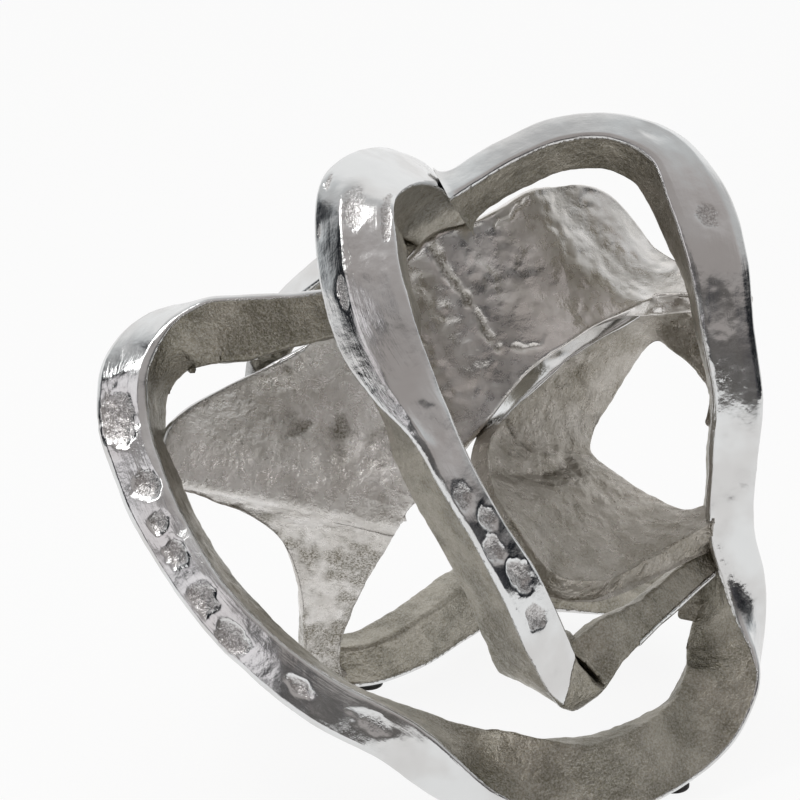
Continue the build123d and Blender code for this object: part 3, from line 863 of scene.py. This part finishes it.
# %% Pits and dents in the ground faces
pits = {
    "loop": [(7.9, 0.15, 13, 9, 1.2, 0.9), (9.2, -0.2, 6.5, 6.0, 1.5, 1.0),
             (9.8, 0.0, 5.0, 5.0, 1.0, 0.8), (10.3, 0.0, 6.5, 5.0, 1.4, 1.0),
             (10.95, 0.1, 8.0, 6.0, 1.3, 0.9), (11.6, 0.3, 9.0, 6.0, 1.2, 0.9),
             (12.6, 0.0, 6.0, 3.5, 1.2, 0.8), (13.6, -0.2, 8.0, 4.0, 0.9, 0.4),
             (26.7, 0.0, 6.0, 5.0, 0.5, 0.8), (25.3, -0.2, 12.0, 6.0, 0.8, 0.1),
             (28.3, 0.2, 9.0, 5.0, 0.6, 0.2)],
    "front": [(9.3, 0.0, 7.0, 5.0, 0.5, 0.6), (9.45, -0.75, 12.0, 2.5, 0.7, 1.0),
              (10.45, 0.42, 7.0, 2.6, 0.5, 0.9), (8.8, 0.75, 3.0, 0.9, 0.5, 1.0),
              (9.5, 0.85, 3.0, 0.9, 0.5, 1.0), (12.9, 0.1, 9.0, 6.0, 1.0, 0.2),
              (14.2, 0.3, 6.0, 4.5, 1.1, 0.8), (14.75, -0.15, 5.5, 4.0, 1.2, 0.8),
              (15.2, 0.3, 5.5, 4.5, 1.3, 1.0), (15.75, -0.1, 6.5, 5.0, 1.4, 1.0),
              (16.45, 0.1, 6.0, 5.0, 1.2, 1.0), (17.3, 0.0, 8.0, 7.0, 0.7, 0.0)],
    "base": [],
}
print("pits and dents:", {path: len(rows) for path, rows in pits.items()})

# %% Depth and roughness of the pits
# The rims wander by this share over this length, with this seed, and the rough floors the same way
rim_wander = (0.45, 3.5 * mm, 9)
floor_wander = (0.6, 2.3 * mm, 10)
# Pits fade out down the flank: full down to half this depth, and gone at one and a half times it
pit_fade = 6 * mm
# The floor is rough up to near the rim: this many times the bowl, less this much
rough_gain = 1.7
rough_loss = 0.2


def pit_field(path, flow, points):
    """How deep the pits are at each point and how rough it is there: a pit is a bowl, its depth
    times (1 - r^2)^1.5, where r is 1 on an ellipse round its middle, made ragged by noise."""
    deep = np.zeros(points.shape[:2])
    rough = np.zeros(points.shape[:2])
    rows, frames = paths[path]
    amount, size, seed = rim_wander
    wander = 1 + amount * noise(points, size, seed)
    on_face = np.clip(1.5 - flow[..., 2] / pit_fade, 0, 1)
    for s, across, long, wide, depth, roughness in pits[path]:
        run = np.interp(s, *lengths[path])
        x = frames(rows, np.array([s]))[3][0] / 2 * across
        away = np.hypot((flow[..., 0] - run) / (long * mm), (flow[..., 1] - x) / (wide * mm))
        bowl = np.clip(1 - (away * wander) ** 2, 0, 1) * on_face
        deep = np.maximum(deep, depth * mm * bowl ** 1.5)
        rough = np.maximum(rough, roughness * np.clip(rough_gain * bowl - rough_loss, 0, 1))
    amount, size, seed = floor_wander
    return deep * (1 + amount * noise(points, size, seed) * rough), rough


# %% [markdown]
# The webs have another kind of mark. Cold metal that met in the mould left laps and cracks, and the
# fan-shaped plates have broad valleys where they were hammered to fit. Each is a line of places on
# one side of the web: the station and the share of the way from its lower to its upper edge.

# %% Laps and valleys in the webs: half width in mm, depth in mm, painted shade, then the places
grooves = {
    "upper": [
        (1.6, 0.5, 1.2, [(6.12, 1.02), (6.04, 0.85), (5.8, 0.65), (5.59, 0.43), (5.4, 0.28)]),
        (0.8, 0.6, 0.8, [(4.95, 0.86), (4.8, 0.9), (4.55, 0.9), (4.3, 0.94)]),
        (8.0, 1.2, 0.75, [(3.78, 1.0), (3.51, 0.75), (3.18, 0.58), (2.6, 0.4), (1.6, 0.25)]),
        (8.0, 0.9, 0.3, [(5.05, 0.85), (4.9, 0.62), (4.4, 0.42), (3.8, 0.28)]),
        (0.8, 0.3, 0.9, [(5.2, 0.22), (4.9, 0.16), (4.4, 0.12)]),
        (7.0, 1.2, 0.1, [(6.6, 0.8), (6.4, 0.5), (6.2, 0.3)]),
        (0.9, 1.0, 1.0, [(8.85, 1.02), (8.75, 0.93), (8.8, 0.86)]),
        (5.0, 1.3, 0.7, [(9.0, 0.5), (9.2, 0.42)]),
        (4.0, 1.1, 0.8, [(9.5, 0.68), (9.6, 0.6)]),
        (4.5, 1.2, 0.6, [(8.4, 0.4), (8.6, 0.3)]),
    ],
    "lower": [
        (4.0, 1.4, 0.3, [(6.4, 0.9), (6.6, 0.5), (6.9, 0.1)]),
        (1.2, 1.0, 1.0, [(8.4, 0.85), (8.7, 0.7), (9.0, 0.6)]),
        (5.0, 1.5, 0.5, [(9.6, 0.9), (9.8, 0.6), (9.7, 0.3)]),
        (5.0, 1.3, 0.4, [(11.4, 0.8), (11.3, 0.5), (11.2, 0.2)]),
    ],
}
print("laps and valleys:", {path: len(rows) for path, rows in grooves.items()})

# %% Depth and painted shade of the laps and valleys
# A groove's width varies by this share over this length, with this seed, and its line strays by
# this length times a noise of its own for each direction
width_wander = (0.5, 4 * mm, 13)
line_wander = (3 * mm, 6 * mm, (14, 15, 16))


def groove_field(path, points):
    """How deep the laps and valleys are at each point, and how dark their painted shade is: depth
    times exp(-(d / half width)^2), where d is the distance to the nearest stretch of the line."""
    rows, frames = paths[path]
    deep = np.zeros(points.shape[:2])
    painted_shade = np.zeros(points.shape[:2])
    share, size, seed = width_wander
    ragged = share * noise(points, size, seed)
    stray, size, seeds = line_wander
    points = points + stray * np.stack([noise(points, size, seed) for seed in seeds], -1)
    for half_width, depth, shade_share, places in grooves[path]:
        s, share = np.array(places).T
        outer, inner, sideways, wide, _ = frames(rows, s)
        line = outer + (inner - outer) * share[:, None] + sideways * wide[:, None] / 2
        nearest = np.full(points.shape[:2], np.inf)
        for a, b in zip(line[:-1], line[1:]):
            t = np.clip((points - a) @ (b - a) / ((b - a) @ (b - a)), 0, 1)
            nearest = np.minimum(nearest, np.linalg.norm(points - a - t[..., None] * (b - a), axis=-1))
        spread = np.exp(-(nearest / (half_width * mm) * (1 + ragged)) ** 2)
        deep = np.maximum(deep, depth * mm * spread)
        # Painted shade along the crack or valley, spreading wider than its dent
        painted_shade = np.maximum(painted_shade, shade_share * spread ** 0.5)
    return deep, painted_shade


# %% [markdown]
# Now the castings. Each entry names the solid that the piece stands for, the path and the stretch
# of it, in stations, as the foundry would cut the pattern. Butt welds fill the joint between two
# castings, and fillet welds run out from the first station to the second, where they flare.

# %% Where each casting and weld lies: path, first and last station
castings = {
    "loop_arm": ("loop", 1.0, 5.6),
    "left_loop": ("loop", 5.7, 14.4),
    "base_loop": ("loop", 14.5, 18.9),
    "right_loop": ("loop", 19.0, 24.3),
    "crown_loop": ("loop", 24.4, 31.7),
    "crown_tail": ("loop", 34.1, 37.4),
    "rear_band_lower": ("front", 1.15, 3.0),
    "rear_band_upper": ("front", 3.1, 6.0),
    "crest_band": ("front", 6.1, 12.0),
    "front_band": ("front", 12.1, 18.2),
    "tip_elbow": ("front", 18.3, 20.3),
    "return_arm": ("front", 20.4, 22.3),
    "rear_right_base": ("base", 0.6, 4.0),
    "rear_base": ("base", 4.1, 9.0),
    "upper_web": ("upper", 0.6, 8.4),
    "left_web": ("upper", 8.5, 18.0),
    "back_web": ("lower", 0.6, 5.0),
    "lower_web": ("lower", 5.1, 14.3),
}
butt_welds = {
    "weld_arm_to_left_loop": ("loop", 5.6, 5.7),
    "weld_left_to_base_loop": ("loop", 14.4, 14.5),
    "weld_base_to_right_loop": ("loop", 18.9, 19.0),
    "weld_right_to_crown_loop": ("loop", 24.3, 24.4),
    "weld_rear_band": ("front", 3.0, 3.1),
    "weld_rear_to_crest_band": ("front", 6.0, 6.1),
    "weld_crest_to_front_band": ("front", 12.0, 12.1),
    "weld_front_band_to_tip": ("front", 18.2, 18.3),
    "weld_tip_to_return_arm": ("front", 20.3, 20.4),
    "weld_rear_base": ("base", 4.0, 4.1),
    "weld_upper_to_left_web": ("upper", 8.4, 8.5),
    "weld_back_to_lower_web": ("lower", 5.0, 5.1),
}
fillet_welds = {
    "weld_arm_to_web": ("loop", 1.0, 0.2),
    "weld_crown_loop_to_crest": ("loop", 31.7, 32.1),
    "weld_crown_tail_to_crest": ("loop", 34.1, 33.5),
    "weld_crown_tail_to_web": ("loop", 37.4, 37.7),
    "weld_rear_band_to_base": ("front", 1.15, 0.3),
    "weld_return_arm_to_loop": ("front", 22.3, 23.0),
    "weld_base_to_loop": ("base", 0.6, 0.0),
    "weld_upper_web_to_loop": ("upper", 0.6, 0.0),
    "weld_back_web_to_loop": ("lower", 0.6, 0.4),
    "weld_lower_web_to_loop": ("lower", 14.3, 15.6),
    "weld_left_web_to_base": ("upper", 18.0, 18.7),
}
print("castings:", len(castings), "and welds:", len(butt_welds) + len(fillet_welds))

# %% The finished skin of a stretch
ring_step = 0.8 * mm
weld_flare = 3.0 * mm
settle_height = 4.0 * mm
# Painted shade darkens the recesses where more than this much metal is gone, and is full this much
# deeper
shade_start = 1.6 * mm
shade_depth = 0.8 * mm
# How much of the wheel's smoothing is lacking where the painted shade is full
undressed_share = 0.5


def skin(path, s, grow=0.0):
    """The finished grid of a stretch: the ideal surface less relief, pits and grooves. The relief
    fades out near the table, and what would reach lower than the pads is ground flat."""
    points, inside, flow = surface(path, s, grow)
    web = path in lips
    if web:
        marks, painted_shade = groove_field(path, points)
        rough = 0 * marks
        # Painted shade of the grooves, and over the web's darkened stretch
        painted_shade = np.maximum(painted_shade, at_stations(web_shade[path], s))
        dressed = at_stations(web_dressing[path], s) * np.clip(1 - undressed_share * painted_shade, 0, 1)
    else:
        marks, rough = pit_field(path, flow, points)
        painted_shade = dressed = 0 * marks
    away = relief(points, flow, inside, web, dressed)
    # The hollow mask of painted shade: recesses deeper than the start, plus the painted shade of the
    # grooves and webs
    hollow = np.clip((away - shade_start) / shade_depth, 0, 1) + painted_shade
    settle = np.clip((points[..., 2] - pad_top) / settle_height, 0, 1)
    points = points - grid_normals(points) * ((away + marks) * settle)[..., None]
    points[..., 2] = np.maximum(points[..., 2], pad_top)
    return points, {"inside_mm": inside / mm, "pitted": rough, "hollow": hollow,
                    "dressed": dressed, "flow": flow}


# %% Castings in place
for node, (path, start, end) in castings.items():
    s, length = spaced(path, start, end, ring_step)
    points, values = skin(path, s)
    piece = mesh_from_grid(f"{node}_casting", points, values)
    dress(piece, node, finish.get(path, shaded_strap_nickel))
    print(f"{node}: {length / mm:.0f} mm long, {len(piece.data.polygons)} faces")

# %% Welds in place
for node, (path, start, end) in butt_welds.items():
    s, length = spaced(path, start, end, ring_step)
    points, values = skin(path, s)
    piece = mesh_from_grid(f"{node}_bead", points, values)
    dress(piece, node, finish.get(path, shaded_strap_nickel))
    print(f"{node}: {length / mm:.1f} mm long")
for node, (path, start, end) in fillet_welds.items():
    s, length = spaced(path, *sorted((start, end)), ring_step)
    reach = (s - start) / (end - start)
    flare = weld_flare * (1 - np.sqrt(np.clip(1 - reach ** 2, 0, 1)))
    points, values = skin(path, s, flare)
    piece = mesh_from_grid(f"{node}_fillet", points, values)
    dress(piece, node, finish.get(path, shaded_strap_nickel))
    print(f"{node}: {length / mm:.1f} mm long")

# %% [markdown]
# The pads are discs punched from felt. A cylinder with a Bevel modifier would look turned on a lathe.
# A punched edge is a little round and fuzzy, so the disc is a profile spun round its axis, with fine
# noise on its rim.

# %% Felt pads
# How far a punched edge is drawn in, as a share of the radius, and how fuzzy it is
edge_share = 0.06
fuzz_depth = 0.12 * mm
fuzz_size = 0.9 * mm
fuzz_seed = 12
# The noise goes down to about minus this, so adding it keeps the fuzz inside the disc
fuzz_lift = 0.7


def pad_grid(low, high, rings=14, around=72):
    """A disc as rings from its bottom to its top: the profile is a box with round edges, radius
    times (1 - edge share times (2h - 1)^4) at height h."""
    middle = (low + high) / 2
    radius = (high[0] - low[0]) / 2
    level = np.linspace(0, 1, rings)
    angle = np.linspace(0, 2 * np.pi, around, endpoint=False)
    size = radius * (1 - edge_share * (2 * level - 1) ** 4)
    flat = size[:, None]
    points = np.stack([middle[0] + flat * np.cos(angle), middle[1] - flat * np.sin(angle),
                       np.broadcast_to((low[2] + (high[2] - low[2]) * level)[:, None],
                                       (rings, around))], -1)
    fuzz = fuzz_depth * (fuzz_lift + noise(points, fuzz_size, fuzz_seed))
    outward = points - middle
    outward[..., 2] = 0
    return points - unit(outward) * fuzz[..., None]


for node in ("felt_pad_front_left", "felt_pad_front_right", "felt_pad_rear", "felt_pad_foot"):
    low, high = (np.array(corner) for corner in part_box(node))
    points = pad_grid(low, high)
    piece = mesh_from_grid(f"{node}_disc", points, {})
    dress(piece, node, felt)
    print(f"{node}: {(high[0] - low[0]) / mm:.0f} mm across, {(high[2] - low[2]) / mm:.1f} mm thick")

# %% [markdown]
# The stage is a plain pale floor that runs on past the picture. Paper under soft light would come
# out grey, so the camera and all mirror images see most of it as plain white, and the rest keeps
# the knot's shadow.


# %% Floor
floor_half_size = 6.0
floor_glow = 0.88


def lay_floor():
    """A square of paper that mixes towards white for camera, glossy and transmission rays."""
    size = floor_half_size
    mesh = bpy.data.meshes.new("floor")
    mesh.from_pydata([(-size, -size, 0), (size, -size, 0), (size, size, 0), (-size, size, 0)], [],
                     [(0, 1, 2, 3)])
    floor = bpy.data.objects.new("floor", mesh)
    bpy.context.scene.collection.objects.link(floor)
    material, tree = new_material("matt_white_paper")
    paper = add(tree, "BsdfPrincipled", {}, {"Base Color": linear("#FDFDFC"), "Roughness": 0.9})
    white = add(tree, "Emission", {}, {"Color": linear("#FFFFFF"), "Strength": 1.0})
    rays = add(tree, "LightPath", {}, {}).node.outputs
    either = {"operation": "MAXIMUM"}
    seen = add(tree, "Math", either, {0: rays["Is Camera Ray"], 1: rays["Is Glossy Ray"]})
    seen = add(tree, "Math", either, {0: seen, 1: rays["Is Transmission Ray"]})
    glow = add(tree, "Math", product, {0: seen, 1: floor_glow})
    mixed = add(tree, "MixShader", {}, {0: glow, 1: paper, 2: white})
    add(tree, "OutputMaterial", {}, {"Surface": mixed})
    mesh.materials.append(material)


lay_floor()
print("the floor glows by", floor_glow)

# %% [markdown]
# Polished metal shows nothing but its room, and in an all-white room it would look like plaster. A
# panorama picture is the usual room, but this one is only colours in the world, told by the
# direction. Round the horizon are walls: grey in front, near black at the sides and white behind.
# The wall at the left is higher than the others, and a soft panel hangs before it. The ceiling goes
# from grey in front to white at the back. The dark walls' images are the black streaks on the
# straps, and the panel's is the long glow on the left loop.

# %% Colours of the room
# Stops from the front, 0, to the back, 1
skirting_stops = [(0.0, "#55524F"), (0.45, "#202226"), (0.60, "#C9CCCE"), (1.0, "#FFFFFF")]
wall_stops = [(0.0, "#6E6B69"), (0.12, "#4C4C50"), (0.28, "#1B1D21"), (0.50, "#22252A"),
              (0.60, "#C9CCCE"), (0.70, "#FFFFFF")]
ceiling_stops = [(0.2, "#B0ABA9"), (0.33, "#C4C0BF"), (0.42, "#C8C8C8"), (0.6, "#D0D2D3"),
                 (0.8, "#FFFFFF")]
# Heights are shares of the direction's length: where each band starts and where it is full
wall_rise = (0.03, 0.06)
ceiling_rise = (0.50, 0.78)
# The other walls are lower than the left one by this much, and the change lies between these sides
lower_by = 0.3
left_end = (-0.5, -0.2)
panel_way = (-0.70, -0.62, 0.35)
panel_edge = (0.950, 0.980)
panel_colour = "#F8F4F6"
print("the panel lies", round(math.degrees(math.asin(panel_way[2]))), "degrees above the horizon")


# %% The room
def build_room():
    """Bands of colour laid over each other by height, and the panel round its own direction."""
    world = bpy.data.worlds.new("studio")
    bpy.context.scene.world = world
    world.use_nodes = True
    tree = world.node_tree
    tree.nodes.clear()
    direction = add(tree, "TexCoord", {}, {}, "Generated")
    x, y, z = add(tree, "SeparateXYZ", {}, {0: direction}).node.outputs
    x_squared = add(tree, "Math", product, {0: x, 1: x})
    y_squared = add(tree, "Math", product, {0: y, 1: y})
    level = add(tree, "Math", total, {0: x_squared, 1: y_squared})
    level = add(tree, "Math", {"operation": "SQRT"}, {0: level})
    share = add(tree, "Math", {"operation": "DIVIDE"}, {0: y, 1: level})
    facing = add(tree, "Math", product_plus, {0: share, 1: 0.5, 2: 0.5})
    backward = add(tree, "Math", product_plus, {0: y, 1: 0.5, 2: 0.5})

    bands = []
    for value, stops in ((facing, skirting_stops), (facing, wall_stops), (backward, ceiling_stops)):
        band = add(tree, "ValToRGB", {}, {"Fac": value})
        elements = band.node.color_ramp.elements
        for element, (position, code) in zip(elements, (stops[0], stops[-1])):
            element.position = position
            element.color = linear(code)
        for position, code in stops[1:-1]:
            elements.new(position).color = linear(code)
        bands.append(band)

    lowered = add(tree, "MapRange", smooth, {
        "Value": x, "From Min": left_end[0], "From Max": left_end[1], "To Max": lower_by})
    height = add(tree, "Math", total, {0: z, 1: lowered})
    towards = add(tree, "Math", product, {0: z, 1: panel_way[2]})
    towards = add(tree, "Math", product_plus, {0: y, 1: panel_way[1], 2: towards})
    towards = add(tree, "Math", product_plus, {0: x, 1: panel_way[0], 2: towards})
    colour = bands[0]
    for value, (low, high), over in ((z, wall_rise, bands[1]), (height, ceiling_rise, bands[2]),
                                     (towards, panel_edge, linear(panel_colour))):
        factor = add(tree, "MapRange", smooth, {"Value": value, "From Min": low, "From Max": high})
        colour = add(tree, "Mix", colour_mix, {"Factor": factor, 6: colour, 7: over}, 2)
    background = add(tree, "Background", {}, {"Color": colour, "Strength": 1.0})
    add(tree, "OutputWorld", {}, {"Surface": background})


build_room()
print("room:", len(bpy.context.scene.world.node_tree.nodes), "nodes")

# %% [markdown]
# One strip lamp hangs high on the left. It gives the knot its soft shadow and draws the few small
# white lights on the crest and along the edges.

# %% Lamp
lamp_length = 0.9
lamp_width = 0.22
lamp_watts = 4.0
lamp_place = (-0.75, -0.35, 1.25)
lamp_turn_degrees = (-16, -30, 35)
lamp = bpy.data.lights.new("strip_softbox", "AREA")
lamp.shape = "RECTANGLE"
lamp.size = lamp_length
lamp.size_y = lamp_width
lamp.energy = lamp_watts
softbox = bpy.data.objects.new("strip_softbox", lamp)
softbox.location = lamp_place
softbox.rotation_euler = [math.radians(degrees) for degrees in lamp_turn_degrees]
bpy.context.scene.collection.objects.link(softbox)
print("lamp:", lamp_watts, "W")

# %% [markdown]
# The photograph was taken from 1.1 m away, looking 20 degrees down, with a long lens and the knot
# off the picture's centre.

# %% Camera
camera_tilt = math.radians(20)
camera_place = np.array([-15.385, -1016.4, 498.68]) * mm + knot_shift
focal_length = 128.7
sensor = 36.0
nearest_seen = 0.05
farthest_seen = 30
lens = bpy.data.cameras.new("camera")
lens.lens = focal_length
lens.sensor_width = sensor
lens.clip_start = nearest_seen
lens.clip_end = farthest_seen
view = bpy.data.objects.new("camera", lens)
view.location = camera_place
view.rotation_euler = (math.pi / 2 - camera_tilt, 0, 0)
bpy.context.scene.collection.objects.link(view)
bpy.context.scene.camera = view
bpy.context.scene.view_settings.view_transform = "Standard"
print("camera at", (camera_place / mm).round(1), "mm")
